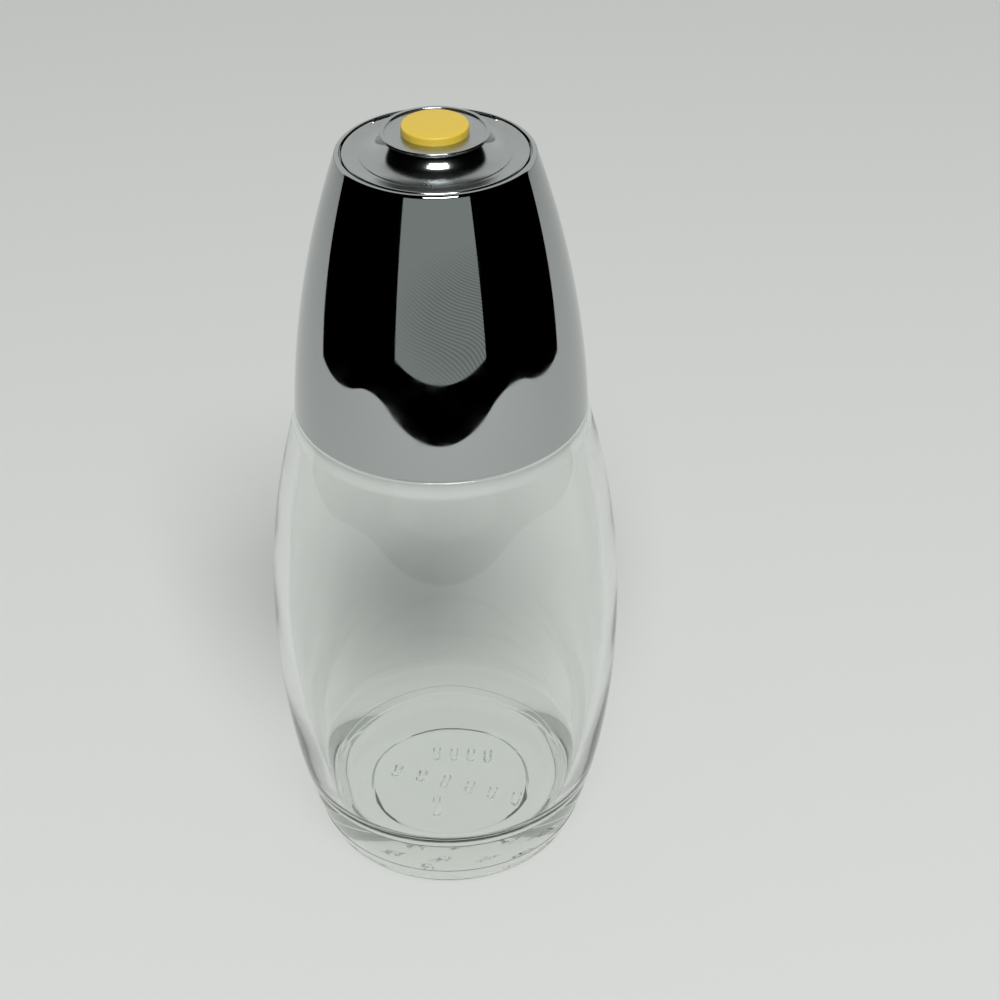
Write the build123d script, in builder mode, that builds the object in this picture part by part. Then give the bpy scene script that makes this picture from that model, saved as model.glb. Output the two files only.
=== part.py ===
"""Table sugar dispenser: a glass jar, a screw-on conical lid and a gravity flap in its top.

Millimetres, +Z up. The origin is the centre of the jar's foot, the pour side is -Y and
the flap's hinge is at +Y.
"""

import os
from math import asin, cos, degrees, hypot, sin, sqrt

from build123d import *

os.makedirs("parts", exist_ok=True)

# Glass jar: a barrel with a thick floor and a threaded neck
foot_radius = 23.2
heel_radius = 3.2
belly_radius = 31.55
belly_height = 49.5
barrel_curve_height = 60.0  # half height of the ellipse that the lower barrel follows
shoulder_radius = 25.2
shoulder_height = 94.0
shoulder_rounding = 0.5
jar_wall = 2.7
floor_height = 11.0
floor_crown = 0.2
floor_rounding = 7.0
floor_wall = 3.2  # the wall thickens towards the floor
punt_radius = 15.3
punt_depth = 0.8
punt_slope = 0.6
seam_height = 5.5  # parting line of the mould's bottom plate
seam_radius = 0.25
seam_proud = 0.1
inner_shoulder_drop = 2.7
inner_neck_drop = 0.7  # the inside of the shoulder meets the bore this far under the neck
inner_shoulder_rounding = 3.5
neck_radius = 20.5
neck_wall = 2.6
neck_height = 11.0
neck_rounding = 0.8

# Raised mould marks under the floor: plain bars in three rows
mark_width = 1.2
mark_height = 0.45
mark_rows = (  # centre of the row, its tilt in degrees, number of bars, spacing, bar length
    ((2.4, 7.4), -6.0, 4, 3.5, 4.0),
    ((1.2, -1.5), -20.0, 6, 5.0, 3.6),
    ((-3.0, -7.1), 0.0, 1, 1.0, 5.0),
)

# Screw thread between the neck and the collar
thread_pitch = 4.2
thread_turns = 1.0
thread_depth = 1.05
thread_root = 1.9
thread_crest = 0.8
thread_bury = 0.3
thread_start = 4.6  # above the shoulder
thread_radial_gap = 0.3
thread_drop = 1.9  # the collar's ridge runs this far under the neck's

# Seal on the jar's rim
seal_thickness = 1.0
seal_width = 2.0

# White inner collar
collar_wall = 1.3
collar_lift = 1.0  # above the shoulder
collar_flange = 1.5
collar_hole_radius = 17.0
collar_fit = 0.05

# Conical lid shell
lid_lift = 0.2  # above the shoulder
lid_bottom_radius = 25.4
lid_middle_radius = 22.5
lid_middle_rise = 23.9
lid_top_radius = 16.4
lid_height = 47.4
lid_crown = 0.5  # height of the rounded rim above the side
lid_wall = 1.6
lid_edge_rounding = 0.3

# Flap seat in the top of the lid
rim_width = 0.85  # from the top of the lid's side in to the opening
flap_gap = 0.32
flap_thickness = 2.0
flap_dish = 0.3  # the flap's flat middle lies this far under its edge
flap_margin = 0.6  # flat left round the knob's foot
flap_top_rounding = 0.4
flap_bottom_rounding = 0.3
tail_rounding = 1.08  # top edge at the hinge, so that it clears the rim as the flap tips
tail_lead = 1.4  # that rounding starts this far in front of the pin
seat_width = 2.4
seat_thickness = 3.0
seat_slope = 1.6
mouth_rounding = 0.15

# Hinge across the back of the flap
pin_radius = 0.45
pin_grip = 1.3  # length held in the rim at each end
pin_depth = 0.9  # below the rim
pin_inset = 3.23  # in from the flap's edge
pin_running_gap = 0.05
pin_seat_gap = 0.01
pin_chamfer = 0.1
pocket_lead = 1.3  # the tail's pocket starts this far in front of the pin
pocket_depth = 2.2

# Knob, its cap and the cap's snap stem
knob_foot_radius = 12.4
knob_foot_thickness = 0.1
knob_neck_radius = 8.0
knob_lip_radius = 8.95
knob_height = 3.5  # above the rim
knob_lip_thickness = 0.5
knob_lip_width = 0.8
knob_lip_rounding = 0.2
dish_depth = 0.3
cap_radius = 5.5
cap_thickness = 1.5
cap_rounding = 0.45
stem_radius = 1.5
stem_gap = 0.05
boss_radius = 3.6
boss_depth = 1.2
barb_radius = 2.0
barb_height = 1.2

# Heights and radii that follow from the sizes above
jar_height = shoulder_height + neck_height
bore_radius = neck_radius - neck_wall
seal_top = jar_height + seal_thickness
collar_bottom = shoulder_height + collar_lift
collar_top = seal_top + collar_flange
collar_bore = neck_radius + thread_depth + thread_radial_gap
collar_radius = collar_bore + collar_wall
lid_bottom = shoulder_height + lid_lift
lid_top = lid_bottom + lid_height
lid_side_top = lid_top - lid_crown
opening_radius = lid_top_radius - rim_width
flap_radius = opening_radius - flap_gap
mouth_radius = opening_radius - seat_width
seat_height = lid_top - flap_thickness
flap_face = lid_top - flap_dish
pin_height = lid_top - pin_depth
pin_offset = flap_radius - pin_inset
pin_reach = sqrt(opening_radius**2 - pin_offset**2) + pin_grip
pocket_floor = seat_height - pocket_depth
knob_top = lid_top + knob_height
dish_floor = knob_top - dish_depth
boss_bottom = seat_height - boss_depth
barb_bottom = boss_bottom - barb_height
stem_hole_radius = stem_radius + stem_gap
spare = 1.0  # how far a cutter runs past the face that it cuts


def ellipse_inset(depth):
    """How far the lower curve has come in at a depth below the belly, as a share of its half width."""
    return 1 - sqrt(1 - (depth / barrel_curve_height) ** 2)


def barrel_radius(height):
    """Outer radius of the glass barrel at a height."""
    if height < belly_height:
        inset_share = ellipse_inset(belly_height - height) / ellipse_inset(belly_height)
        return belly_radius - (belly_radius - foot_radius) * inset_share
    rise = shoulder_height - belly_height
    inset = belly_radius - shoulder_radius
    curve = (rise**2 + inset**2) / (2 * inset)
    return belly_radius - curve + sqrt(curve**2 - (height - belly_height) ** 2)


def barrel_outline(foot, belly, shoulder):
    """Draw the side of the barrel through three (radius, height) points, upright at the belly."""
    depth = belly[1] - foot[1]
    sweep_angle = asin(depth / barrel_curve_height)
    half_width = (belly[0] - foot[0]) / ellipse_inset(depth)
    EllipticalCenterArc(
        center=(belly[0] - half_width, belly[1]),
        x_radius=half_width,
        y_radius=barrel_curve_height,
        start_angle=-degrees(sweep_angle),
        arc_size=degrees(sweep_angle),
    )
    TangentArc(belly, shoulder, tangent=(0, 1))


def lid_circle():
    """Centre radius, centre height and curve radius of the lid's side."""
    x1, y1 = lid_bottom_radius, lid_bottom
    x2, y2 = lid_middle_radius, lid_bottom + lid_middle_rise
    x3, y3 = lid_top_radius, lid_side_top
    a, b, c = x1**2 + y1**2, x2**2 + y2**2, x3**2 + y3**2
    d = 2 * (x1 * (y2 - y3) + x2 * (y3 - y1) + x3 * (y1 - y2))
    centre_x = (a * (y2 - y3) + b * (y3 - y1) + c * (y1 - y2)) / d
    centre_y = (a * (x3 - x2) + b * (x1 - x3) + c * (x2 - x1)) / d
    return centre_x, centre_y, hypot(x1 - centre_x, y1 - centre_y)


def lid_radius(height):
    """Outer radius of the lid at a height."""
    centre_x, centre_y, curve = lid_circle()
    return centre_x + sqrt(curve**2 - (height - centre_y) ** 2)


def corner(sketch, radius, height):
    """The vertex of an outline nearest to a radius and height."""
    return sketch.vertices().sort_by_distance((radius, height, 0))[0]


def thread_ridge(radius, height, outward):
    """Add one helical ridge on a wall: outward 1 stands out of a neck, -1 stands into a bore."""
    with BuildLine() as path:
        Helix(thread_pitch, thread_pitch * thread_turns, radius, center=(0, 0, height))
    start = Plane(path.line @ 0, x_dir=(1, 0, 0), z_dir=path.line % 0)
    with BuildSketch(start) as ridge:
        with BuildLine():
            Polyline(
                (-outward * thread_bury, -thread_root / 2),
                (0, -thread_root / 2),
                (outward * thread_depth, -thread_crest / 2),
                (outward * thread_depth, thread_crest / 2),
                (0, thread_root / 2),
                (-outward * thread_bury, thread_root / 2),
                close=True,
            )
        make_face()
    sweep(sections=ridge.sketch, path=path.line, is_frenet=True)


# Glass jar
inner_shoulder = shoulder_height - inner_shoulder_drop
with BuildPart() as glass_jar:
    with BuildSketch(Plane.XZ) as jar_outside:
        with BuildLine():
            Line((0, 0), (foot_radius, 0))
            barrel_outline(
                (foot_radius, 0), (belly_radius, belly_height), (shoulder_radius, shoulder_height)
            )
            Polyline(
                (shoulder_radius, shoulder_height),
                (neck_radius, shoulder_height),
                (neck_radius, jar_height),
                (0, jar_height),
                (0, 0),
            )
        make_face()
        fillet(corner(jar_outside, foot_radius, 0), heel_radius)
        fillet(corner(jar_outside, shoulder_radius, shoulder_height), shoulder_rounding)
        fillet(corner(jar_outside, neck_radius, shoulder_height), neck_rounding)
        fillet(corner(jar_outside, neck_radius, jar_height), neck_rounding)
        with Locations((barrel_radius(seam_height) + seam_proud - seam_radius, seam_height)):
            Circle(seam_radius)
    revolve(axis=Axis.Z)
    thread_ridge(neck_radius, shoulder_height + thread_start, 1)
    with BuildSketch(Plane.XZ) as jar_inside:
        with BuildLine():
            floor_radius = barrel_radius(floor_height) - floor_wall
            shoulder_bore = barrel_radius(inner_shoulder) - jar_wall
            TangentArc((0, floor_height + floor_crown), (floor_radius, floor_height), tangent=(1, 0))
            barrel_outline(
                (floor_radius, floor_height),
                (belly_radius - jar_wall, belly_height),
                (shoulder_bore, inner_shoulder),
            )
            Polyline(
                (shoulder_bore, inner_shoulder),
                (bore_radius, shoulder_height - inner_neck_drop),
                (bore_radius, jar_height + spare),
                (0, jar_height + spare),
                (0, floor_height + floor_crown),
            )
        make_face()
        fillet(corner(jar_inside, floor_radius, floor_height), floor_rounding)
        fillet(corner(jar_inside, shoulder_bore, inner_shoulder), inner_shoulder_rounding)
        fillet(corner(jar_inside, bore_radius, shoulder_height - inner_neck_drop), inner_shoulder_rounding)
    revolve(axis=Axis.Z, mode=Mode.SUBTRACT)
    with BuildSketch(Plane.XZ) as punt:
        with BuildLine():
            Polyline(
                (0, 0),
                (punt_radius + punt_slope, 0),
                (punt_radius, punt_depth),
                (0, punt_depth),
                close=True,
            )
        make_face()
    revolve(axis=Axis.Z, mode=Mode.SUBTRACT)
    with BuildSketch(Plane.XY.offset(punt_depth - mark_height)):
        for row_centre, row_tilt, row_count, row_spacing, bar_length in mark_rows:
            with Locations(Location((*row_centre, 0), (0, 0, row_tilt))):
                with GridLocations(row_spacing, row_spacing, row_count, 1):
                    SlotOverall(bar_length, mark_width, rotation=90)
    extrude(amount=mark_height + spare)
glass_jar.part.label = "glass_jar"
export_step(glass_jar.part, "parts/glass_jar.step")

# Seal ring on the jar's rim
with BuildPart() as rim_seal:
    with BuildSketch(Plane.XY.offset(jar_height)):
        Circle(bore_radius + (neck_wall + seal_width) / 2)
        Circle(bore_radius + (neck_wall - seal_width) / 2, mode=Mode.SUBTRACT)
    extrude(amount=seal_thickness)
rim_seal.part.label = "rim_seal"
export_step(rim_seal.part, "parts/rim_seal.step")

# White inner collar that screws on the neck
with BuildPart() as threaded_collar:
    with BuildSketch(Plane.XY.offset(collar_bottom)):
        Circle(collar_radius)
        Circle(collar_bore, mode=Mode.SUBTRACT)
    extrude(amount=collar_top - collar_bottom)
    with BuildSketch(Plane.XY.offset(seal_top)):
        Circle(collar_radius)
        Circle(collar_hole_radius, mode=Mode.SUBTRACT)
    extrude(amount=collar_flange)
    thread_ridge(collar_bore, shoulder_height + thread_start - thread_drop, -1)
threaded_collar.part.label = "threaded_collar"
export_step(threaded_collar.part, "parts/threaded_collar.step")

# Conical lid shell with the flap's seat, tail pocket and pin holes
shell_bore = collar_radius + collar_fit
with BuildPart() as lid_shell:
    with BuildSketch(Plane.XZ) as lid_outside:
        with BuildLine():
            side = ThreePointArc(
                (lid_bottom_radius, lid_bottom),
                (lid_middle_radius, lid_bottom + lid_middle_rise),
                (lid_top_radius, lid_side_top),
            )
            rise = side % 1
            crest_radius = lid_top_radius + lid_crown * rise.X / rise.Y
            Bezier(side @ 1, (crest_radius, lid_top), (opening_radius, lid_top))
            Polyline(
                (opening_radius, lid_top), (0, lid_top), (0, lid_bottom), (lid_bottom_radius, lid_bottom)
            )
        make_face()
        fillet(corner(lid_outside, lid_bottom_radius, lid_bottom), lid_edge_rounding)
    revolve(axis=Axis.Z)
    with BuildSketch(Plane.XZ) as lid_inside:
        seat_underside = seat_height - seat_thickness
        under_wall = seat_underside - seat_slope
        stop_radius = lid_radius(collar_top) - lid_wall
        with BuildLine():
            middle = (collar_top + under_wall) / 2
            ThreePointArc(
                (stop_radius, collar_top),
                (lid_radius(middle) - lid_wall, middle),
                (lid_radius(under_wall) - lid_wall, under_wall),
            )
            Polyline(
                (lid_radius(under_wall) - lid_wall, under_wall),
                (mouth_radius, seat_underside),
                (mouth_radius, seat_height),
                (0, seat_height),
                (0, lid_bottom - spare),
                (shell_bore, lid_bottom - spare),
                (shell_bore, collar_top),
                (stop_radius, collar_top),
            )
        make_face()
    revolve(axis=Axis.Z, mode=Mode.SUBTRACT)
    with BuildSketch(Plane.XY.offset(seat_height)):
        Circle(opening_radius)
    extrude(amount=flap_thickness + spare, mode=Mode.SUBTRACT)
    top_circles = lid_shell.edges().filter_by(GeomType.CIRCLE).group_by(Axis.Z)[-1]
    mouth_edge = top_circles.sort_by(SortBy.RADIUS)[0]
    fillet(mouth_edge, mouth_rounding)
    with BuildSketch(Plane.XY.offset(pocket_floor)):
        Circle(opening_radius)
        with Locations((0, pin_offset - pocket_lead)):
            Rectangle(
                2 * opening_radius, opening_radius, align=(Align.CENTER, Align.MIN), mode=Mode.INTERSECT
            )
    extrude(amount=pocket_depth + spare, mode=Mode.SUBTRACT)
    with Locations(Location((0, pin_offset, pin_height), (0, 90, 0))):
        Cylinder(pin_radius + pin_seat_gap, 2 * lid_top_radius, mode=Mode.SUBTRACT)
lid_shell.part.label = "lid_shell"
export_step(lid_shell.part, "parts/lid_shell.step")

# Flap plate with a boss for the stem and a cross hole for the pin
with BuildPart() as flap_plate:
    with BuildSketch(Plane.XZ) as plate_outline:
        with BuildLine():
            Polyline(
                (flap_radius, lid_top - flap_top_rounding),
                (flap_radius, seat_height),
                (boss_radius, seat_height),
                (boss_radius, boss_bottom),
                (0, boss_bottom),
                (0, flap_face),
                (knob_foot_radius + flap_margin, flap_face),
                (flap_radius - flap_top_rounding, lid_top),
            )
            TangentArc(
                (flap_radius - flap_top_rounding, lid_top),
                (flap_radius, lid_top - flap_top_rounding),
                tangent=(1, 0),
            )
        make_face()
        fillet(corner(plate_outline, flap_radius, seat_height), flap_bottom_rounding)
    revolve(axis=Axis.Z)
    tail_start = asin((pin_offset - tail_lead) / flap_radius)
    tail_plane = Plane(
        origin=(0, 0, 0),
        x_dir=(cos(tail_start), sin(tail_start), 0),
        z_dir=(sin(tail_start), -cos(tail_start), 0),
    )
    with BuildSketch(tail_plane):
        with Locations((flap_radius + spare, lid_top + spare)):
            Rectangle(tail_rounding + spare, tail_rounding + spare, align=Align.MAX)
        with Locations((flap_radius - tail_rounding, lid_top - tail_rounding)):
            Circle(tail_rounding, mode=Mode.SUBTRACT)
    revolve(axis=Axis.Z, revolution_arc=180 - 2 * degrees(tail_start), mode=Mode.SUBTRACT)
    with BuildSketch(Plane.XY.offset(boss_bottom)):
        Circle(stem_hole_radius)
    extrude(amount=lid_top - boss_bottom, mode=Mode.SUBTRACT)
    with Locations(Location((0, pin_offset, pin_height), (0, 90, 0))):
        Cylinder(pin_radius + pin_running_gap, 2 * flap_radius, mode=Mode.SUBTRACT)
flap_plate.part.label = "flap_plate"
export_step(flap_plate.part, "parts/flap_plate.step")

# Spool-shaped knob with a dished top
with BuildPart() as flap_knob:
    with BuildSketch(Plane.XZ) as knob_outline:
        foot_top = flap_face + knob_foot_thickness
        lip_underside = knob_top - knob_lip_thickness
        with BuildLine():
            Polyline(
                (stem_hole_radius, flap_face), (knob_foot_radius, flap_face), (knob_foot_radius, foot_top)
            )
            TangentArc((knob_foot_radius, foot_top), (knob_neck_radius, lip_underside), tangent=(-1, 0))
            Polyline(
                (knob_neck_radius, lip_underside),
                (knob_lip_radius, lip_underside),
                (knob_lip_radius, knob_top),
                (knob_lip_radius - knob_lip_width, knob_top),
                (knob_lip_radius - knob_lip_width, dish_floor),
                (stem_hole_radius, dish_floor),
                (stem_hole_radius, flap_face),
            )
        make_face()
        fillet(corner(knob_outline, knob_lip_radius, knob_top), knob_lip_rounding)
        fillet(corner(knob_outline, knob_lip_radius - knob_lip_width, knob_top), knob_lip_rounding)
    revolve(axis=Axis.Z)
flap_knob.part.label = "flap_knob"
export_step(flap_knob.part, "parts/flap_knob.step")

# Coloured cap with a snap stem that holds the knob to the plate
with BuildPart() as knob_cap:
    with BuildSketch(Plane.XZ) as cap_outline:
        with BuildLine():
            Polyline(
                (0, barb_bottom),
                (stem_radius, barb_bottom),
                (barb_radius, boss_bottom),
                (stem_radius, boss_bottom),
                (stem_radius, dish_floor),
                (cap_radius, dish_floor),
                (cap_radius, dish_floor + cap_thickness),
                (0, dish_floor + cap_thickness),
                close=True,
            )
        make_face()
        fillet(corner(cap_outline, cap_radius, dish_floor + cap_thickness), cap_rounding)
    revolve(axis=Axis.Z)
knob_cap.part.label = "knob_cap"
export_step(knob_cap.part, "parts/knob_cap.step")

# Steel pin that the flap swings on
with BuildPart() as hinge_pin:
    with Locations(Location((0, pin_offset, pin_height), (0, 90, 0))):
        Cylinder(pin_radius, 2 * pin_reach)
    chamfer(hinge_pin.edges().filter_by(GeomType.CIRCLE), pin_chamfer)
hinge_pin.part.label = "hinge_pin"
export_step(hinge_pin.part, "parts/hinge_pin.step")
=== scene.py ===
"""Table sugar dispenser: finishes for the glass jar, the plated lid and its flap, and a studio."""

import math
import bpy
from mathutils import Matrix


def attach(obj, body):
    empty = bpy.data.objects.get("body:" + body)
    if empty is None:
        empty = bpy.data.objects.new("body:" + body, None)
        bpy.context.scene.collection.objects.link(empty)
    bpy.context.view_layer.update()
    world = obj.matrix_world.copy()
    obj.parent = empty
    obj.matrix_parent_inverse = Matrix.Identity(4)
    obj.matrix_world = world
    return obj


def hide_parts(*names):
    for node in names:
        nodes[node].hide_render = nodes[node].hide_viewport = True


bl_info = {
    "name": "Sugar Dispenser",
    "version": (1, 0, 0),
    "blender": (4, 5, 0),
    "location": "View3D > Sidebar > Dispenser",
    "description": "Dresses a glass sugar dispenser with a plated lid and sets up its stage",
    "category": "Add Mesh",
}

import bmesh
import bpy
from bpy.props import FloatProperty, FloatVectorProperty, PointerProperty
from mathutils import Matrix, Vector, noise
from mathutils.geometry import intersect_line_line_2d

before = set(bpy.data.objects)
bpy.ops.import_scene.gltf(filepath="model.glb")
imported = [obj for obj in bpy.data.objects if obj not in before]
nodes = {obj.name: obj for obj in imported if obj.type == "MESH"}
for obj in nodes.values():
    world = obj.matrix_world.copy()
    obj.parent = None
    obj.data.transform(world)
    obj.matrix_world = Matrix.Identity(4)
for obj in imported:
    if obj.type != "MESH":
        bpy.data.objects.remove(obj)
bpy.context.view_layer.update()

MM = 0.001


# Helpers


def linear(hex_code):
    """Turn an sRGB hex colour into linear red, green and blue."""
    channels = [int(hex_code[i : i + 2], 16) / 255 for i in (1, 3, 5)]
    return tuple(c / 12.92 if c <= 0.04045 else ((c + 0.055) / 1.055) ** 2.4 for c in channels)


def add_node(tree, kind, inputs=None, links=None, **properties):
    """Add a node of a kind, with its properties, the values of its inputs and what feeds them."""
    node = tree.nodes.new(kind)
    for name, value in properties.items():
        setattr(node, name, value)
    for name, value in (inputs or {}).items():
        node.inputs[name].default_value = value
    for name, source in (links or {}).items():
        tree.links.new(source, node.inputs[name])
    return node


def new_material(name):
    """An empty node material and its tree."""
    material = bpy.data.materials.new(name)
    material.use_nodes = True
    material.node_tree.nodes.clear()
    return material, material.node_tree


def repeats(millimetres):
    """Texture scale that repeats a pattern once in this many millimetres."""
    return 1 / (millimetres * MM)


def remap(tree, source, low, high, new_low, new_high):
    """Stretch a value from one range to another, held inside the new one."""
    node = add_node(
        tree,
        "ShaderNodeMapRange",
        {"From Min": low, "From Max": high, "To Min": new_low, "To Max": new_high},
        {"Value": source},
    )
    return node.outputs["Result"]


def product(tree, first, second):
    """One value times another."""
    node = add_node(tree, "ShaderNodeMath", None, {0: first, 1: second}, operation="MULTIPLY")
    return node.outputs["Value"]


def finish_material(tree, surface, volume=None):
    """Join a surface, and a volume if there is one, to the output."""
    links = {"Surface": surface}
    if volume:
        links["Volume"] = volume
    add_node(tree, "ShaderNodeOutputMaterial", None, links)


def dress(node_name, material):
    """Give a piece of the frame its material."""
    for slot in nodes[node_name].material_slots:
        slot.material = material


# Settings that a user would change


class JarSettings(bpy.types.PropertyGroup):
    """Finish of the glass jar."""

    tint: FloatVectorProperty(
        name="Glass tint",
        description="Colour that light keeps after a thick stretch of glass",
        subtype="COLOR",
        default=linear("#B9C4AE"),
    )
    density: FloatProperty(
        name="Tint strength", description="How fast the glass takes up light, per metre", default=8.0, min=0.0
    )
    wave_size: FloatProperty(
        name="Wave size", description="Width of the soft waves left by pressing, in mm", default=14.0, min=1.0
    )
    wave_depth: FloatProperty(
        name="Wave depth", description="Height of those waves, in mm", default=0.08, min=0.0
    )


class LidSettings(bpy.types.PropertyGroup):
    """Finish of the plated shell, the flap and the knob."""

    plating: FloatVectorProperty(
        name="Plating", description="Colour of the chrome plating", subtype="COLOR", default=linear("#B0B4B4")
    )
    shell_roughness: FloatProperty(
        name="Shell roughness", description="Roughness of the clean shell", default=0.02, min=0.0, max=1.0
    )
    flap_roughness: FloatProperty(
        name="Flap roughness", description="Roughness of the worn flap", default=0.12, min=0.0, max=1.0
    )


class TrimSettings(bpy.types.PropertyGroup):
    """Colours of the plastic pieces."""

    cap: FloatVectorProperty(
        name="Cap", description="Colour of the cap in the knob", subtype="COLOR", default=linear("#E4C444")
    )
    collar: FloatVectorProperty(
        name="Collar", description="Colour of the threaded collar", subtype="COLOR", default=linear("#EEF0EC")
    )


class StageSettings(bpy.types.PropertyGroup):
    """Floor, light and camera."""

    paper: FloatVectorProperty(
        name="Paper", description="Colour of the floor", subtype="COLOR", default=linear("#E3E5E2")
    )
    key_power: FloatProperty(
        name="Key power", description="Power of the soft light above the front", default=43.0, unit="POWER"
    )
    key_distance: FloatProperty(
        name="Key distance", description="From the lid to the soft light", default=2.2, unit="LENGTH"
    )
    room_light: FloatProperty(
        name="Room light", description="Brightness of the light from all round", default=0.21, min=0.0
    )


# Materials: pattern sizes in mm, spans of a pattern's value, and strengths
SMEAR_SIZE, SMEAR_SPAN, SMEAR_DULLING = 9, (0.45, 0.75), 0.06
PRINT_MIDDLE, PRINT_WIDTH = Vector((5, -21, 122)), 13
RIDGE_SIZE, RIDGE_SPAN, RIDGE_SHADE = 1.4, (0.3, 0.7), 0.55
CLOUD_SIZE, CLOUD_SPAN, CLOUD_LEAST = 3.5, (0.3, 0.7), 0.4
UPWARD_SPAN, UPWARD_HAZE = (0.8, 0.97), 0.25
GRAIN_HEIGHT, GLOW_DEPTH = 0.02, 1.0


def pressed_glass(settings):
    """Soda-lime glass from a press mould: clear, and a little green where it is thick.

    Shadow rays and diffuse rays go straight through it, so what stands behind it is lit softly.
    """
    material, tree = new_material("pressed_soda_lime_glass")
    rays = add_node(tree, "ShaderNodeLightPath")
    glass = add_node(
        tree,
        "ShaderNodeBsdfPrincipled",
        {
            "Base Color": (*linear("#FBFDFC"), 1),
            "Roughness": 0.0,
            "IOR": 1.52,
            "Transmission Weight": 1.0,
        },
    )
    clear = add_node(tree, "ShaderNodeBsdfTransparent", {"Color": (*linear("#FCFCFC"), 1)})
    for_glow = add_node(
        tree,
        "ShaderNodeMixShader",
        None,
        {0: rays.outputs["Is Diffuse Ray"], 1: glass.outputs["BSDF"], 2: clear.outputs["BSDF"]},
    )
    surface = add_node(
        tree,
        "ShaderNodeMixShader",
        None,
        {0: rays.outputs["Is Shadow Ray"], 1: for_glow.outputs["Shader"], 2: clear.outputs["BSDF"]},
    )
    body = add_node(
        tree, "ShaderNodeVolumeAbsorption", {"Color": (*settings.tint, 1), "Density": settings.density}
    )
    finish_material(tree, surface.outputs["Shader"], body.outputs["Volume"])
    return material


def plated_shell(settings):
    """Chrome plating on moulded ABS: a clear mirror with faint smears from handling."""
    material, tree = new_material("bright_chrome_plate")
    place = add_node(tree, "ShaderNodeTexCoord")
    smears = add_node(
        tree,
        "ShaderNodeTexNoise",
        {"Scale": repeats(SMEAR_SIZE), "Detail": 6.0, "Roughness": 0.65},
        {"Vector": place.outputs["Object"]},
    )
    clean = settings.shell_roughness
    roughness = remap(tree, smears.outputs["Fac"], *SMEAR_SPAN, clean, clean + SMEAR_DULLING)
    chrome = add_node(
        tree,
        "ShaderNodeBsdfPrincipled",
        {"Metallic": 1.0},
        {"Base Color": fingerprint(tree, place, settings.plating), "Roughness": roughness},
    )
    finish_material(tree, chrome.outputs["BSDF"])
    return material


def fingerprint(tree, place, colour):
    """The ridges of one greasy fingerprint on the front, a shade darker than the clean plating."""
    middle, width = PRINT_MIDDLE * MM, PRINT_WIDTH * MM
    reach = add_node(
        tree, "ShaderNodeVectorMath", {1: middle}, {0: place.outputs["Object"]}, operation="DISTANCE"
    )
    pad = remap(tree, reach.outputs["Value"], width / 2, width, 1, 0)
    ridges = add_node(
        tree,
        "ShaderNodeTexWave",
        {"Scale": repeats(RIDGE_SIZE), "Distortion": 60.0, "Detail": 1.0, "Detail Scale": 0.07},
        {"Vector": place.outputs["Object"]},
        bands_direction="DIAGONAL",
    )
    lines = remap(tree, ridges.outputs["Fac"], *RIDGE_SPAN, 0, RIDGE_SHADE)
    tone = add_node(
        tree,
        "ShaderNodeMix",
        {6: (*colour, 1), 7: (*linear("#7C8080"), 1)},
        {0: product(tree, pad, lines)},
        data_type="RGBA",
    )
    return tone.outputs[2]


def worn_plate(settings):
    """The same plating where fingers and sugar have dulled it: a hazy mirror with cloudy patches."""
    material, tree = new_material("scuffed_chrome_plate")
    place = add_node(tree, "ShaderNodeTexCoord")
    clouds = add_node(
        tree,
        "ShaderNodeTexNoise",
        {"Scale": repeats(CLOUD_SIZE), "Detail": 8.0, "Roughness": 0.7},
        {"Vector": place.outputs["Object"]},
    )
    cloudy = remap(tree, clouds.outputs["Fac"], *CLOUD_SPAN, CLOUD_LEAST, 1)
    facing = add_node(tree, "ShaderNodeSeparateXYZ", None, {"Vector": place.outputs["Normal"]})
    upward = remap(tree, facing.outputs["Z"], *UPWARD_SPAN, 0, UPWARD_HAZE)
    haze = add_node(
        tree,
        "ShaderNodeMath",
        {1: settings.flap_roughness},
        {0: product(tree, cloudy, upward)},
        operation="ADD",
    )
    chrome = add_node(
        tree,
        "ShaderNodeBsdfPrincipled",
        {"Base Color": (*settings.plating, 1), "Metallic": 1.0},
        {"Roughness": haze.outputs["Value"]},
    )
    finish_material(tree, chrome.outputs["BSDF"])
    return material


def moulded_plastic(name, colour, roughness, grain):
    """Moulded plastic or foam: soft sheen, a trace of light under the surface, fine grain."""
    material, tree = new_material(name)
    place = add_node(tree, "ShaderNodeTexCoord")
    skin = add_node(
        tree,
        "ShaderNodeTexNoise",
        {"Scale": repeats(grain), "Detail": 4.0},
        {"Vector": place.outputs["Object"]},
    )
    bump = add_node(
        tree,
        "ShaderNodeBump",
        {"Strength": 0.15, "Distance": GRAIN_HEIGHT * MM},
        {"Height": skin.outputs["Fac"]},
    )
    plastic = add_node(
        tree,
        "ShaderNodeBsdfPrincipled",
        {
            "Base Color": (*colour, 1),
            "Roughness": roughness,
            "IOR": 1.49,
            "Subsurface Weight": 0.15,
            "Subsurface Scale": GLOW_DEPTH * MM,
        },
        {"Normal": bump.outputs["Normal"]},
    )
    finish_material(tree, plastic.outputs["BSDF"])
    return material


def drawn_wire():
    """Stainless spring wire: bright and even, a little dull."""
    material, tree = new_material("drawn_stainless_wire")
    steel = add_node(
        tree,
        "ShaderNodeBsdfPrincipled",
        {"Base Color": (*linear("#B9B7B2"), 1), "Metallic": 1.0, "Roughness": 0.25},
    )
    finish_material(tree, steel.outputs["BSDF"])
    return material


def matte_paper(settings):
    """Uncoated card: flat, even and pale."""
    material, tree = new_material("matte_card")
    paper = add_node(
        tree, "ShaderNodeBsdfPrincipled", {"Base Color": (*settings.paper, 1), "Roughness": 0.9}
    )
    finish_material(tree, paper.outputs["BSDF"])
    return material


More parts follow.
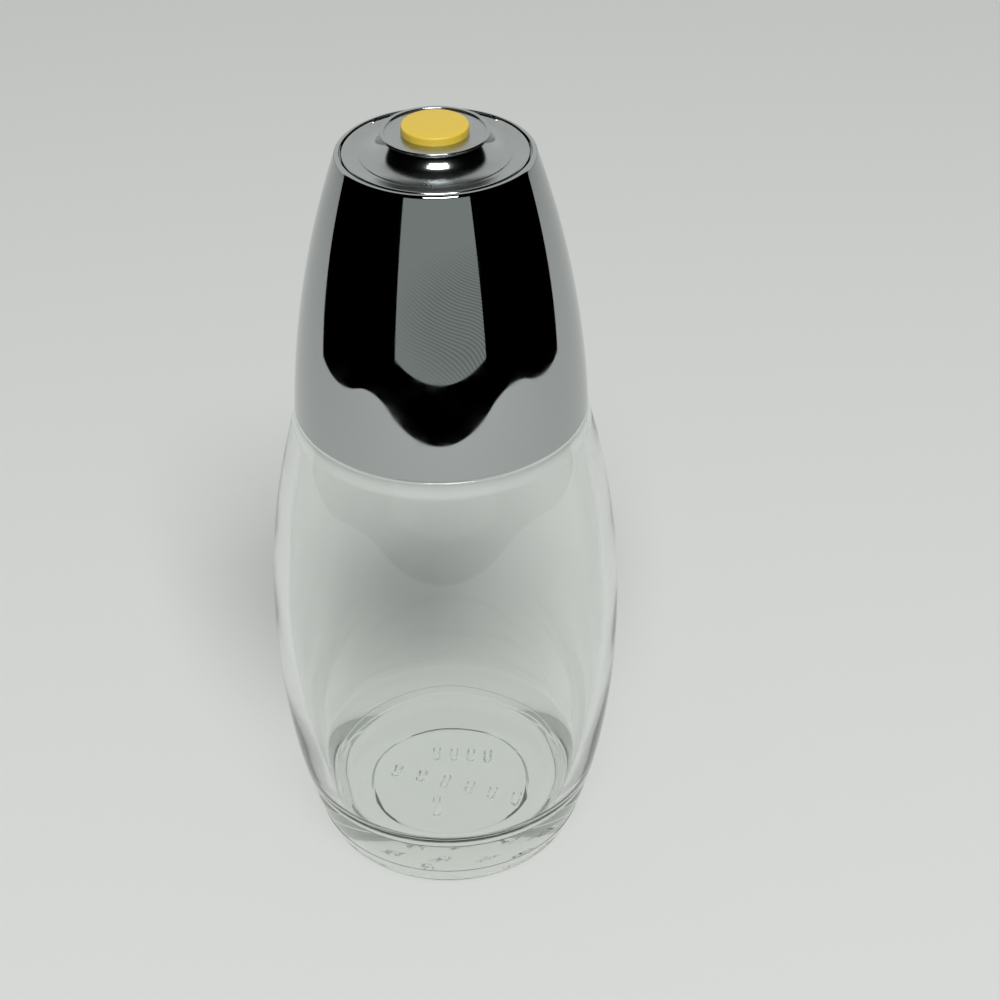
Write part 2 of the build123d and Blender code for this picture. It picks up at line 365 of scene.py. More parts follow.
def glowing_card(name, colour, strength):
    """A card of one even brightness, for what the plating mirrors."""
    material, tree = new_material(name)
    glow = add_node(tree, "ShaderNodeEmission", {"Color": (*colour, 1), "Strength": strength})
    finish_material(tree, glow.outputs["Emission"])
    return material


# Outlines: runs of (radius, height) points in mm


def run(*points):
    """Straight lines through points."""
    return [Vector(point) for point in points]


def swing(centre, start, end, count):
    """The arc about a centre from start to end, the short way round."""
    first, last = start - centre, end - centre
    turn = math.atan2(first.cross(last), first.dot(last))
    points = []
    for i in range(count + 1):
        c, s = math.cos(turn * i / count), math.sin(turn * i / count)
        points.append(centre + Vector((first.x * c - first.y * s, first.x * s + first.y * c)))
    return points


def arc_through(a, b, c, count=64):
    """The circular arc from a through b to c."""
    a, b, c = Vector(a), Vector(b), Vector(c)
    ab, ac = b - a, c - a
    across = Vector(
        (
            ac.y * ab.length_squared - ab.y * ac.length_squared,
            ab.x * ac.length_squared - ac.x * ab.length_squared,
        )
    )
    return swing(a + across / (2 * ab.cross(ac)), a, c, count)


def arc_leaving(start, end, heading, count=48):
    """The circular arc that leaves start along a heading and ends at end."""
    start, end, heading = Vector(start), Vector(end), Vector(heading)
    normal = Vector((-heading.y, heading.x))
    reach = end - start
    return swing(start + normal * reach.length_squared / (2 * reach.dot(normal)), start, end, count)


def beside(points, distance):
    """A run moved to its left."""
    moved = []
    for i, point in enumerate(points):
        along = points[min(i + 1, len(points) - 1)] - points[max(i - 1, 0)]
        moved.append(point + Vector((-along.y, along.x)).normalized() * distance)
    return moved


def foot_on(point, start, end):
    """The nearest point of a line to a point."""
    along = end - start
    return start + along * ((point - start).dot(along) / along.length_squared)


def rounded(before, after, radius):
    """Two runs that share a corner, as one run with the corner rounded."""
    turn = (before[-1] - before[-2]).cross(after[1] - after[0])
    side = math.copysign(radius, turn)
    near, far = beside(before, side), beside(after, side)
    for i in reversed(range(len(near) - 1)):
        for j in range(len(far) - 1):
            centre = intersect_line_line_2d(near[i], near[i + 1], far[j], far[j + 1])
            if centre:
                start = foot_on(centre, before[i], before[i + 1])
                end = foot_on(centre, after[j], after[j + 1])
                return before[: i + 1] + swing(centre, start, end, 16) + after[j + 1 :]
    raise ValueError("no rounding of this radius fits the corner")


def joined(*runs):
    """Runs that follow each other, as one run."""
    points = list(runs[0])
    for following in runs[1:]:
        points += following[1:]
    return points


# Pieces: steps in a turn and in degrees, and distances within which places count as one
TURN_STEPS, PIN_STEP, SHARP_ANGLE = 256, 5, 32
NEAR = 0.001
WELD = 1e-8


def lathe(name, outline_at, relief=None):
    """Turn an outline round the axis. It may change with the angle, and relief moves points in mm."""
    grid = bmesh.new()
    columns = []
    for step in range(TURN_STEPS):
        angle = 2 * math.pi * step / TURN_STEPS
        column = []
        for point in outline_at(angle):
            place = Vector((point.x * math.cos(angle), point.x * math.sin(angle), point.y))
            if relief:
                place += relief(place)
            column.append(grid.verts.new(place * MM))
        columns.append(column)
    count = len(columns[0])
    last = count if outline_at(0)[0].x > NEAR else count - 1
    for step, column in enumerate(columns):
        following = columns[(step + 1) % TURN_STEPS]
        for i in range(last):
            j = (i + 1) % count
            grid.faces.new((column[i], following[i], following[j], column[j]))
    bmesh.ops.remove_doubles(grid, verts=grid.verts, dist=WELD)
    bmesh.ops.recalc_face_normals(grid, faces=grid.faces)
    return mesh_object(name, grid)


def mesh_object(name, grid):
    """A mesh object from an edited grid."""
    mesh = bpy.data.meshes.new(name)
    grid.to_mesh(mesh)
    grid.free()
    thing = bpy.data.objects.new(name, mesh)
    bpy.context.scene.collection.objects.link(thing)
    return thing


def prism(outline, low, high, place):
    """A closed prism: an outline in its own plane, drawn out from low to high and then placed."""
    grid = bmesh.new()
    ends = [[grid.verts.new(place @ Vector((u, v, w)) * MM) for u, v in outline] for w in (low, high)]
    grid.faces.new(ends[0])
    grid.faces.new(ends[1])
    for i in range(len(outline)):
        j = (i + 1) % len(outline)
        grid.faces.new((ends[0][i], ends[0][j], ends[1][j], ends[1][i]))
    bmesh.ops.recalc_face_normals(grid, faces=grid.faces)
    return mesh_object("cutter", grid)


def carve(thing, cutter):
    """Cut one mesh out of another."""
    cut = thing.modifiers.new("carve", "BOOLEAN")
    cut.operation, cut.solver, cut.object = "DIFFERENCE", "EXACT", cutter
    carved = bpy.data.meshes.new_from_object(thing.evaluated_get(bpy.context.evaluated_depsgraph_get()))
    thing.modifiers.clear()
    thing.data = carved
    bpy.data.objects.remove(cutter)


def pin_cutter(radius, reach):
    """A round bar along the hinge's axis."""
    turn = [math.radians(degrees) for degrees in range(0, 360, PIN_STEP)]
    circle = [(radius * math.cos(angle), radius * math.sin(angle)) for angle in turn]
    along_x = Matrix(((0, 0, 1, 0), (1, 0, 0, PIN_OFFSET), (0, 1, 0, PIN_HEIGHT), (0, 0, 0, 1)))
    return prism(circle, -reach, reach, along_x)


def fit_piece(thing, body, node_name, material):
    """Smooth a turned piece, dress it and let it stand for its node."""
    thing.data.materials.clear()
    thing.data.materials.append(material)
    thing.data.shade_smooth()
    thing.data.set_sharp_from_angle(angle=math.radians(SHARP_ANGLE))
    evened = thing.modifiers.new("even_normals", "WEIGHTED_NORMAL")
    evened.keep_sharp = True
    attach(thing, body)
    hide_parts(node_name)


# Glass jar, in mm
FOOT, BELLY, SHOULDER = (23.2, 0), (31.55, 49.5), (25.2, 94.0)
CURVE_HEIGHT = 60.0
WALL, FLOOR_WALL = 2.7, 3.2
FLOOR_HEIGHT, FLOOR_CROWN = 11.0, 0.2
INNER_SHOULDER, BORE_FOOT = 91.3, 93.3
NECK, BORE, JAR_TOP = 20.5, 17.9, 105.0
PUNT_RADIUS, PUNT_DEPTH, PUNT_SLOPE = 15.3, 0.8, 0.6
FOOT_ROUNDING, SHOULDER_ROUNDING, NECK_ROUNDING, RIM_ROUNDING = 3.2, 0.5, 0.8, 0.8
BORE_ROUNDING, CEILING_ROUNDING, FLOOR_ROUNDING = 3.5, 3.5, 7.0
WAVES_LOW, WAVES_HIGH, WAVES_FADE = 16, 90, 8
SEAM_HEIGHT, SEAM_RADIUS, SEAM_PROUD = 5.5, 0.25, 0.1
MARK_WIDTH, MARK_HEIGHT, MARK_EDGE, MARK_MARGIN = 1.2, 0.45, 0.3, 0.4
MARK_ROWS = (  # centre, tilt in degrees, number of bars, spacing, bar length
    ((2.4, 7.4), -6.0, 4, 3.5, 4.0),
    ((1.2, -1.5), -20.0, 6, 5.0, 3.6),
    ((-3.0, -7.1), 0.0, 1, 1.0, 5.0),
)
THREAD_PITCH, THREAD_DEPTH, THREAD_ROOT, THREAD_CREST, THREAD_START = 4.2, 1.05, 1.9, 0.8, 98.6
THREAD_RUN_OUT, PLAIN_NECK_LOW, PLAIN_NECK_HIGH = 0.05, 2, 1

# Lid and flap, in mm
LID_SIDE = (25.4, 94.2), (22.5, 118.1), (16.4, 141.1)
LID_TOP, OPENING, FLAP_RADIUS = 141.6, 15.55, 15.23
SHELL_WALL, SHELL_BORE, COLLAR_TOP = 1.6, 23.2, 107.5
MOUTH, SEAT_HEIGHT, SEAT_UNDERSIDE, UNDER_WALL = 13.15, 139.6, 136.6, 135.0
LID_FOOT_ROUNDING, OPENING_ROUNDING = 0.3, 0.15
POCKET_FLOOR, POCKET_FRONT, POCKET_INSET = 137.4, 10.7, 0.01
PIN_OFFSET, PIN_HEIGHT, PIN_REACH = 12.0, 140.7, 17.0
SHELL_PIN_HOLE, FLAP_PIN_HOLE = 0.46, 0.5
FLAP_FACE, FLAP_FLAT, FLAP_ROUNDING, FLAP_BOTTOM_ROUNDING = 141.3, 13.0, 0.4, 0.3
TAIL_ROUNDING, TAIL_START = 1.08, 10.6
BOSS_RADIUS, BOSS_BOTTOM, STEM_HOLE = 3.6, 138.4, 1.55
KNOB_FOOT, KNOB_STEP, KNOB_NECK, KNOB_LIP, KNOB_TOP = 12.4, 0.1, 8.0, 8.95, 145.1
LIP_UNDERSIDE, LIP_INSIDE, LIP_ROUNDING, DISH_FLOOR = 144.6, 8.15, 0.2, 144.8
CAP_RADIUS, CAP_TOP, CAP_ROUNDING, STEM, BARB, BARB_BOTTOM = 5.5, 146.3, 0.45, 1.5, 2.0, 137.2


def barrel_side(foot, belly, shoulder):
    """The side of the barrel through three points, upright at the belly."""
    depth = belly[1] - foot[1]
    sweep = math.asin(depth / CURVE_HEIGHT)
    half_width = (belly[0] - foot[0]) / (1 - math.cos(sweep))
    lower = []
    for i in range(73):
        angle = sweep * (i / 72 - 1)
        lower.append(
            Vector(
                (
                    belly[0] - half_width * (1 - math.cos(angle)),
                    belly[1] + CURVE_HEIGHT * math.sin(angle),
                )
            )
        )
    return joined(lower, arc_leaving(belly, shoulder, (0, 1), 56))


def radius_at(side, height):
    """The radius of a side at a height."""
    for low, high in zip(side, side[1:]):
        if low.y <= height <= high.y:
            return low.lerp(high, (height - low.y) / (high.y - low.y)).x
    raise ValueError("the side does not reach this height")


def with_seam(side):
    """Add the mould's parting line to the outside of the barrel."""
    half = math.sqrt(SEAM_RADIUS**2 - (SEAM_RADIUS - SEAM_PROUD) ** 2)
    below = [point for point in side if point.y < SEAM_HEIGHT - half]
    above = [point for point in side if point.y > SEAM_HEIGHT + half]
    bead = []
    for i in range(9):
        rise = half * math.sin(math.radians(90 * (i / 4 - 1)))
        proud = math.sqrt(SEAM_RADIUS**2 - rise**2) - SEAM_RADIUS + SEAM_PROUD
        bead.append(Vector((radius_at(side, SEAM_HEIGHT + rise) + proud, SEAM_HEIGHT + rise)))
    return below + bead + above


def mark_relief(x, y):
    """How far the mould marks stand out of the underside at a place."""
    nearest = math.inf
    for (row_x, row_y), tilt, count, spacing, length in MARK_ROWS:
        c, s = math.cos(math.radians(tilt)), math.sin(math.radians(tilt))
        u, v = (x - row_x) * c + (y - row_y) * s, (y - row_y) * c - (x - row_x) * s
        for i in range(count):
            across = u - spacing * (i - (count - 1) / 2)
            beyond = max(0, abs(v) - (length - MARK_WIDTH) / 2)
            nearest = min(nearest, math.hypot(across, beyond))
    share = min(1, max(0, (MARK_WIDTH / 2 + MARK_EDGE / 2 - nearest) / MARK_EDGE))
    return MARK_HEIGHT * share * share * (3 - 2 * share)


def thread_relief(place):
    """How far the thread stands out of the neck at a place."""
    angle = math.atan2(place.y, place.x) % (2 * math.pi)
    off = abs(place.z - THREAD_START - THREAD_PITCH * angle / (2 * math.pi))
    share = (THREAD_ROOT / 2 - off) / ((THREAD_ROOT - THREAD_CREST) / 2)
    ends = min(angle, 2 * math.pi - angle) / THREAD_RUN_OUT
    return THREAD_DEPTH * min(1, max(0, share)) * min(1, ends)


def build_jar(settings):
    """The pressed jar, with waves in its inner wall, the mould's parting line and marks, and the thread."""
    outside = barrel_side(FOOT, BELLY, SHOULDER)
    floor_radius = radius_at(outside, FLOOR_HEIGHT) - FLOOR_WALL
    inner_bore = radius_at(outside, INNER_SHOULDER) - WALL
    inner_belly = (BELLY[0] - WALL, BELLY[1])
    inside = barrel_side((floor_radius, FLOOR_HEIGHT), inner_belly, (inner_bore, INNER_SHOULDER))
    ceiling = [Vector((PUNT_RADIUS * i / 46, PUNT_DEPTH)) for i in range(47)]
    neck = [Vector((NECK, SHOULDER[1] + (JAR_TOP - SHOULDER[1]) * i / 55)) for i in range(56)]
    outline = joined(ceiling, run((PUNT_RADIUS, PUNT_DEPTH), (PUNT_RADIUS + PUNT_SLOPE, 0), FOOT))
    outline = rounded(outline, with_seam(outside), FOOT_ROUNDING)
    outline = rounded(outline, run(SHOULDER, (NECK, SHOULDER[1])), SHOULDER_ROUNDING)
    outline = rounded(outline, neck, NECK_ROUNDING)
    outline = rounded(outline, run((NECK, JAR_TOP), (BORE, JAR_TOP)), RIM_ROUNDING)
    outline = joined(outline, run((BORE, JAR_TOP), (BORE, BORE_FOOT)))
    outline = rounded(outline, run((BORE, BORE_FOOT), (inner_bore, INNER_SHOULDER)), BORE_ROUNDING)
    outline = rounded(outline, inside[::-1], CEILING_ROUNDING)
    floor = arc_leaving((0, FLOOR_HEIGHT + FLOOR_CROWN), (floor_radius, FLOOR_HEIGHT), (1, 0))[::-1]
    outline = rounded(outline, floor, FLOOR_ROUNDING)

    def relief(place):
        radius = math.hypot(place.x, place.y)
        if abs(place.z - PUNT_DEPTH) < NEAR and radius < PUNT_RADIUS - MARK_MARGIN:
            return Vector((0, 0, -mark_relief(place.x, place.y)))
        outward = Vector((place.x, place.y, 0)) / max(radius, NEAR)
        plain_low, plain_high = SHOULDER[1] + PLAIN_NECK_LOW, JAR_TOP - PLAIN_NECK_HIGH
        if abs(radius - NECK) < NEAR and plain_low < place.z < plain_high:
            return outward * thread_relief(place)
        if WAVES_LOW < place.z < WAVES_HIGH and radius < radius_at(outside, place.z) - WALL / 2:
            fade = min(1, (place.z - WAVES_LOW) / WAVES_FADE, (WAVES_HIGH - place.z) / WAVES_FADE)
            return outward * settings.wave_depth * fade * noise.noise(place / settings.wave_size)
        return Vector((0, 0, 0))

    outline[0].x = outline[-1].x = 0
    return lathe("jar", lambda angle: outline, relief)


def build_shell():
    """The conical shell with its rolled rim, the flap's seat, the tail's pocket and the pin holes."""
    side = arc_through(*LID_SIDE)
    rise = side[-1] - side[-2]
    crest = Vector((side[-1].x + (LID_TOP - side[-1].y) * rise.x / rise.y, LID_TOP))
    crown = []
    for i in range(25):
        t = i / 24
        crown.append(side[-1].lerp(crest, t).lerp(crest.lerp(Vector((OPENING, LID_TOP)), t), t))
    inner_top, inner_foot = radius_at(side, UNDER_WALL) - SHELL_WALL, radius_at(side, COLLAR_TOP) - SHELL_WALL
    middle = (UNDER_WALL + COLLAR_TOP) / 2
    inner_middle = radius_at(side, middle) - SHELL_WALL
    outline = run((SHELL_BORE, LID_SIDE[0][1]), LID_SIDE[0])
    outline = rounded(outline, joined(side, crown), LID_FOOT_ROUNDING)
    outline = rounded(outline, run((OPENING, LID_TOP), (OPENING, SEAT_HEIGHT)), OPENING_ROUNDING)
    outline = joined(
        outline,
        run((OPENING, SEAT_HEIGHT), (MOUTH, SEAT_HEIGHT), (MOUTH, SEAT_UNDERSIDE), (inner_top, UNDER_WALL)),
        arc_through((inner_top, UNDER_WALL), (inner_middle, middle), (inner_foot, COLLAR_TOP), 24),
        run((inner_foot, COLLAR_TOP), (SHELL_BORE, COLLAR_TOP)),
    )
    shell = lathe("shell", lambda angle: outline)
    radius = OPENING - POCKET_INSET
    half_angle = math.acos(POCKET_FRONT / radius)
    arc = [math.pi / 2 + half_angle * (i / 24 - 1) for i in range(49)]
    pocket = [(radius * math.cos(angle), radius * math.sin(angle)) for angle in arc]
    carve(shell, prism(pocket, POCKET_FLOOR, SEAT_HEIGHT + 1, Matrix.Identity(4)))
    carve(shell, pin_cutter(SHELL_PIN_HOLE, PIN_REACH))
    return shell


def build_plate():
    """The round flap, dished round the knob, with its edge eased at the hinge."""
    radii = [FLAP_FLAT + (FLAP_RADIUS - FLAP_FLAT) * math.sin(math.radians(90 * i / 40)) for i in range(41)]
    edge = FLAP_RADIUS - FLAP_ROUNDING

    def cap(radius, rounding):
        inward = max(0, radius - FLAP_RADIUS + rounding)
        return LID_TOP - rounding + math.sqrt(max(0, rounding**2 - inward**2))

    def outline_at(angle):
        rounding = TAIL_ROUNDING if FLAP_RADIUS * math.sin(angle) > TAIL_START else FLAP_ROUNDING
        face = []
        for radius in radii:
            cone = FLAP_FACE + (LID_TOP - FLAP_FACE) * min(1, (radius - FLAP_FLAT) / (edge - FLAP_FLAT))
            face.append(Vector((radius, min(cone, cap(radius, rounding)))))
        side = run((FLAP_RADIUS, face[-1].y), (FLAP_RADIUS, SEAT_HEIGHT))
        bottom = run((FLAP_RADIUS, SEAT_HEIGHT), (BOSS_RADIUS, SEAT_HEIGHT), (BOSS_RADIUS, BOSS_BOTTOM))
        stem = run((BOSS_RADIUS, BOSS_BOTTOM), (STEM_HOLE, BOSS_BOTTOM), (STEM_HOLE, FLAP_FACE))
        dish = run((STEM_HOLE, FLAP_FACE), (FLAP_FLAT, FLAP_FACE))
        return joined(stem, dish, face, rounded(side, bottom, FLAP_BOTTOM_ROUNDING))

    plate = lathe("plate", outline_at)
    carve(plate, pin_cutter(FLAP_PIN_HOLE, PIN_REACH))
    return plate


def build_knob():
    """The spool-shaped knob: a hollow flare, a thin lip and a shallow dish."""
    foot_top = FLAP_FACE + KNOB_STEP
    lip_side, lip_top = (
        run((KNOB_LIP, LIP_UNDERSIDE), (KNOB_LIP, KNOB_TOP)),
        run((KNOB_LIP, KNOB_TOP), (LIP_INSIDE, KNOB_TOP)),
    )
    lip = rounded(lip_side, lip_top, LIP_ROUNDING)
    lip = rounded(lip, run((LIP_INSIDE, KNOB_TOP), (LIP_INSIDE, DISH_FLOOR)), LIP_ROUNDING)
    outline = joined(
        run((STEM_HOLE, FLAP_FACE), (KNOB_FOOT, FLAP_FACE), (KNOB_FOOT, foot_top)),
        arc_leaving((KNOB_FOOT, foot_top), (KNOB_NECK, LIP_UNDERSIDE), (-1, 0)),
        run((KNOB_NECK, LIP_UNDERSIDE), (KNOB_LIP, LIP_UNDERSIDE)),
        lip,
        run((LIP_INSIDE, DISH_FLOOR), (STEM_HOLE, DISH_FLOOR)),
    )
    return lathe("knob", lambda angle: outline)


def build_cap():
    """The coloured cap with its snap stem."""
    barb = run((0, BARB_BOTTOM), (STEM, BARB_BOTTOM), (BARB, BOSS_BOTTOM), (STEM, BOSS_BOTTOM))
    stem = joined(barb, run((STEM, BOSS_BOTTOM), (STEM, DISH_FLOOR)))
    head = run((STEM, DISH_FLOOR), (CAP_RADIUS, DISH_FLOOR), (CAP_RADIUS, CAP_TOP))
    outline = rounded(joined(stem, head), run((CAP_RADIUS, CAP_TOP), (0, CAP_TOP)), CAP_ROUNDING)
    return lathe("cap", lambda angle: outline)


# Stage geometry


def flat_piece(name, points, faces, material):
    """A mesh object from points in metres and faces."""
    mesh = bpy.data.meshes.new(name)
    mesh.from_pydata(points, [], faces)
    mesh.materials.append(material)
    thing = bpy.data.objects.new(name, mesh)
    bpy.context.scene.collection.objects.link(thing)
    return thing


def mirrored_only(thing):
    """Keep a card out of every view except reflections."""
    thing.visible_camera = False
    thing.visible_diffuse = False
    thing.visible_transmission = False
    thing.visible_volume_scatter = False
    thing.visible_shadow = False


# Studio cards that only the plating mirrors, in mm
CARD_REACH, CARD_LIFT = 7000, 0.4
SHEET_FRONT, SHEET_SIDE, SHEET_BACK = 265, 300, 60
SHEET_CORNER, SHEET_FLARE = 120, 30
BOARD_DISTANCE, BOARD_SIDE, BOARD_FOOT, BOARD_TOP = 430, 300, 5, 300


def sheet_edge():
    """The edge of a pale sheet: a straight front with round corners, and sides that flare to the back."""
    far_back = SHEET_BACK + (CARD_REACH - SHEET_SIDE) * math.tan(math.radians(SHEET_FLARE))
    left = run((-CARD_REACH, far_back), (-SHEET_SIDE, SHEET_BACK), (-SHEET_SIDE, -SHEET_FRONT))
    front = run((-SHEET_SIDE, -SHEET_FRONT), (SHEET_SIDE, -SHEET_FRONT))
    right = run((SHEET_SIDE, -SHEET_FRONT), (SHEET_SIDE, SHEET_BACK), (CARD_REACH, far_back))
    return rounded(rounded(left, front, SHEET_CORNER), right, SHEET_CORNER)


def painted_dark_reflection_card(material):
    """A black card all round the pale sheet that only reflections see: a painted dark reflection."""
    inner, outer = [], []
    for x, y in sheet_edge():
        far = CARD_REACH / max(abs(x), abs(y))
        inner.append(Vector((x, y, CARD_LIFT)) * MM)
        outer.append(Vector((x * far, y * far, CARD_LIFT)) * MM)
    count = len(inner)
    faces = [(i, i + 1, count + i + 1, count + i) for i in range(count - 1)]
    mirrored_only(flat_piece("painted_dark_reflection_card", inner + outer, faces, material))


def painted_pale_reflection_card(material):
    """A pale upright card in front of the dispenser that glows and that only reflections see: a painted
    reflection.
    """
    corners = (
        (-BOARD_SIDE, BOARD_FOOT),
        (BOARD_SIDE, BOARD_FOOT),
        (BOARD_SIDE, BOARD_TOP),
        (-BOARD_SIDE, BOARD_TOP),
    )
    points = [Vector((x, -BOARD_DISTANCE, z)) * MM for x, z in corners]
    mirrored_only(flat_piece("painted_pale_reflection_card", points, [(0, 1, 2, 3)], material))


def floor_sheet(material):
    """A wide pale floor, a hair below the foot."""
    half, height = 6.0, -0.05 * MM
    points = [(x * half, y * half, height) for x, y in ((-1, -1), (1, -1), (1, 1), (-1, 1))]
    floor = flat_piece("floor", points, [(0, 1, 2, 3)], material)


# Operators


class DISPENSER_OT_jar(bpy.types.Operator):
    """Give the jar its pressed glass"""

    bl_idname = "dispenser.jar"
    bl_label = "Glass jar"

    def execute(self, context):
        settings = context.scene.dispenser_jar
        fit_piece(build_jar(settings), "jar", "glass_jar", pressed_glass(settings))
        return {"FINISHED"}


class DISPENSER_OT_collar(bpy.types.Operator):
    """Give the threaded collar and the seal their plastics"""

    bl_idname = "dispenser.collar"
    bl_label = "Collar and seal"

    def execute(self, context):
        colour = context.scene.dispenser_trim.collar
        dress("threaded_collar", moulded_plastic("white_polypropylene", colour, roughness=0.4, grain=1.5))
        dress("rim_seal", moulded_plastic("foam_seal", linear("#D9D6CC"), roughness=0.8, grain=0.6))
        return {"FINISHED"}


class DISPENSER_OT_lid(bpy.types.Operator):
    """Give the lid's shell its bright plating and the pin its steel"""

    bl_idname = "dispenser.lid"
    bl_label = "Lid shell and pin"

    def execute(self, context):
        chrome = plated_shell(context.scene.dispenser_lid)
        fit_piece(build_shell(), "lid", "lid_shell", chrome)
        dress("hinge_pin", drawn_wire())
        return {"FINISHED"}


class DISPENSER_OT_flap(bpy.types.Operator):
    """Give the flap and the knob their worn plating and the cap its colour"""

    bl_idname = "dispenser.flap"
    bl_label = "Flap, knob and cap"

    def execute(self, context):
        worn = worn_plate(context.scene.dispenser_lid)
        colour = context.scene.dispenser_trim.cap
        yellow = moulded_plastic("yellow_polypropylene", colour, roughness=0.38, grain=0.8)
        fit_piece(build_plate(), "flap", "flap_plate", worn)
        fit_piece(build_knob(), "flap", "flap_knob", worn)
        fit_piece(build_cap(), "flap", "knob_cap", yellow)
        return {"FINISHED"}


# Lamp, in m and degrees; room, as shares of a heading and strengths; camera, in mm and degrees
LAMP_WIDTH, LAMP_LENGTH, LAMP_TURN, LAMP_RISE, LAMP_AIM = 1.09, 0.73, 6, 55, 100 * MM
BACKDROP_SPAN, BACKDROP_STRENGTH, BACKDROP_THROUGH = (0.42, 0.49), 1.2, 0.5
CAMERA_BACK, CAMERA_HEIGHT, CAMERA_LENS = 312.9, 294.8, 77.25
CAMERA_TURN, CAMERA_PITCH, CAMERA_ROLL = 1.833, 35.385, 0.34


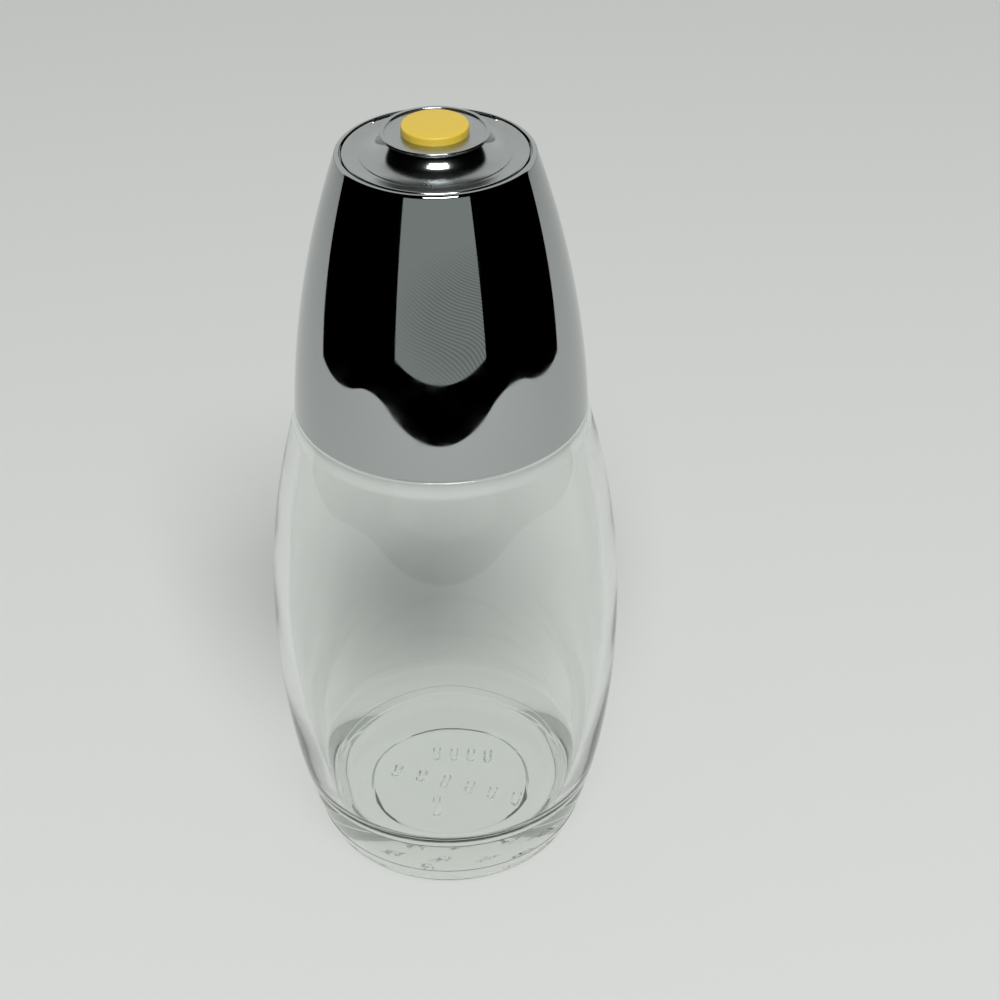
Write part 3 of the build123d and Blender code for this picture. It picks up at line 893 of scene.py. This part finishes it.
class DISPENSER_OT_stage(bpy.types.Operator):
    """Set up the pale floor, the soft light, the dim room and the camera"""

    bl_idname = "dispenser.stage"
    bl_label = "Stage"

    def execute(self, context):
        settings = context.scene.dispenser_stage
        scene = context.scene
        scene.view_settings.view_transform = "Standard"
        floor_sheet(matte_paper(settings))
        # painted reflection: a black card that only reflections see
        painted_dark_reflection_card(glowing_card("painted_dark_reflection", linear("#000000"), strength=0.0))
        # painted reflection: a glowing pale card that only reflections see
        painted_pale_reflection_card(glowing_card("painted_pale_reflection", linear("#A2A8A5"), strength=1.0))
        self.light(scene, settings)
        self.aim_camera(scene)
        return {"FINISHED"}

    def light(self, scene, settings):
        """A soft lamp above the front and even light from all round.

        Reflections and rays through the glass meet a dark room with a pale backdrop behind the
        dispenser instead of the even light, and rays through the glass don't meet the lamp.
        """
        target = Vector((0, 0, LAMP_AIM))
        turn, rise = math.radians(LAMP_TURN), math.radians(LAMP_RISE)
        way = Vector((math.sin(turn) * math.cos(rise), -math.cos(turn) * math.cos(rise), math.sin(rise)))
        lamp = bpy.data.lights.new("key", "AREA")
        lamp.shape = "RECTANGLE"
        lamp.size, lamp.size_y = LAMP_WIDTH, LAMP_LENGTH
        lamp.energy = settings.key_power
        key = bpy.data.objects.new("key", lamp)
        key.location = target + way * settings.key_distance
        key.rotation_euler = way.to_track_quat("Z", "Y").to_euler()
        key.visible_transmission = False
        scene.collection.objects.link(key)
        world = bpy.data.worlds.new("studio")
        world.use_nodes = True
        world.node_tree.nodes.clear()
        tree = world.node_tree
        rays = add_node(tree, "ShaderNodeLightPath")
        room = add_node(
            tree, "ShaderNodeBackground", {"Color": (*linear("#FFFFFF"), 1), "Strength": settings.room_light}
        )
        cloth = (*linear("#CBCDCB"), 1)
        backdrop = add_node(tree, "ShaderNodeBackground", {"Color": cloth, "Strength": BACKDROP_STRENGTH})
        unlit = add_node(tree, "ShaderNodeBackground", {"Color": (0, 0, 0, 1)})
        heading = add_node(tree, "ShaderNodeTexCoord")
        parts = add_node(tree, "ShaderNodeSeparateXYZ", None, {"Vector": heading.outputs["Generated"]})
        behind = remap(tree, parts.outputs["Y"], *BACKDROP_SPAN, 0, 1)
        through = add_node(
            tree,
            "ShaderNodeMath",
            {1: BACKDROP_THROUGH},
            {0: rays.outputs["Is Transmission Ray"]},
            operation="MULTIPLY",
        )
        lit = add_node(
            tree, "ShaderNodeMath", None, {0: behind, 1: through.outputs["Value"]}, operation="MAXIMUM"
        )
        mirrored = add_node(
            tree,
            "ShaderNodeMixShader",
            None,
            {0: lit.outputs["Value"], 1: unlit.outputs["Background"], 2: backdrop.outputs["Background"]},
        )
        seen = add_node(
            tree,
            "ShaderNodeMath",
            None,
            {0: rays.outputs["Is Glossy Ray"], 1: rays.outputs["Is Transmission Ray"]},
            operation="MAXIMUM",
        )
        mix = add_node(
            tree,
            "ShaderNodeMixShader",
            None,
            {0: seen.outputs["Value"], 1: room.outputs["Background"], 2: mirrored.outputs["Shader"]},
        )
        add_node(tree, "ShaderNodeOutputWorld", None, {"Surface": mix.outputs["Shader"]})
        scene.world = world

    def aim_camera(self, scene):
        """A camera above the front, looking down at the dispenser."""
        place = (0, -CAMERA_BACK * MM, CAMERA_HEIGHT * MM)
        turn, pitch, roll = (math.radians(angle) for angle in (CAMERA_TURN, CAMERA_PITCH, CAMERA_ROLL))
        lens = bpy.data.cameras.new("camera")
        lens.sensor_width = 36
        lens.lens = CAMERA_LENS
        lens.clip_start = 0.01
        camera = bpy.data.objects.new("camera", lens)
        camera.matrix_world = (
            Matrix.Translation(place)
            @ Matrix.Rotation(-turn, 4, "Z")
            @ Matrix.Rotation(math.radians(90) - pitch, 4, "X")
            @ Matrix.Rotation(-roll, 4, "Z")
        )
        scene.collection.objects.link(camera)
        scene.camera = camera


class DISPENSER_PT_panel(bpy.types.Panel):
    """Settings and steps in the 3D view's sidebar."""

    bl_idname = "DISPENSER_PT_panel"
    bl_label = "Sugar Dispenser"
    bl_space_type = "VIEW_3D"
    bl_region_type = "UI"
    bl_category = "Dispenser"

    def draw(self, context):
        for settings, operators in (
            (context.scene.dispenser_jar, ["dispenser.jar"]),
            (context.scene.dispenser_trim, ["dispenser.collar"]),
            (context.scene.dispenser_lid, ["dispenser.lid", "dispenser.flap"]),
            (context.scene.dispenser_stage, ["dispenser.stage"]),
        ):
            box = self.layout.box()
            for name in settings.bl_rna.properties.keys():
                if name not in ("rna_type", "name"):
                    box.prop(settings, name)
            for operator in operators:
                box.operator(operator)


GROUPS = {
    "dispenser_jar": JarSettings,
    "dispenser_lid": LidSettings,
    "dispenser_trim": TrimSettings,
    "dispenser_stage": StageSettings,
}
OPERATORS = (
    DISPENSER_OT_jar,
    DISPENSER_OT_collar,
    DISPENSER_OT_lid,
    DISPENSER_OT_flap,
    DISPENSER_OT_stage,
)


def register():
    for name, group in GROUPS.items():
        bpy.utils.register_class(group)
        setattr(bpy.types.Scene, name, PointerProperty(type=group))
    for operator in OPERATORS:
        bpy.utils.register_class(operator)
    bpy.utils.register_class(DISPENSER_PT_panel)


def unregister():
    bpy.utils.unregister_class(DISPENSER_PT_panel)
    for operator in reversed(OPERATORS):
        bpy.utils.unregister_class(operator)
    for name, group in reversed(GROUPS.items()):
        delattr(bpy.types.Scene, name)
        bpy.utils.unregister_class(group)


def main():
    register()
    bpy.ops.dispenser.jar()
    bpy.ops.dispenser.collar()
    bpy.ops.dispenser.lid()
    bpy.ops.dispenser.flap()
    bpy.ops.dispenser.stage()


if __name__ == "__main__":
    main()
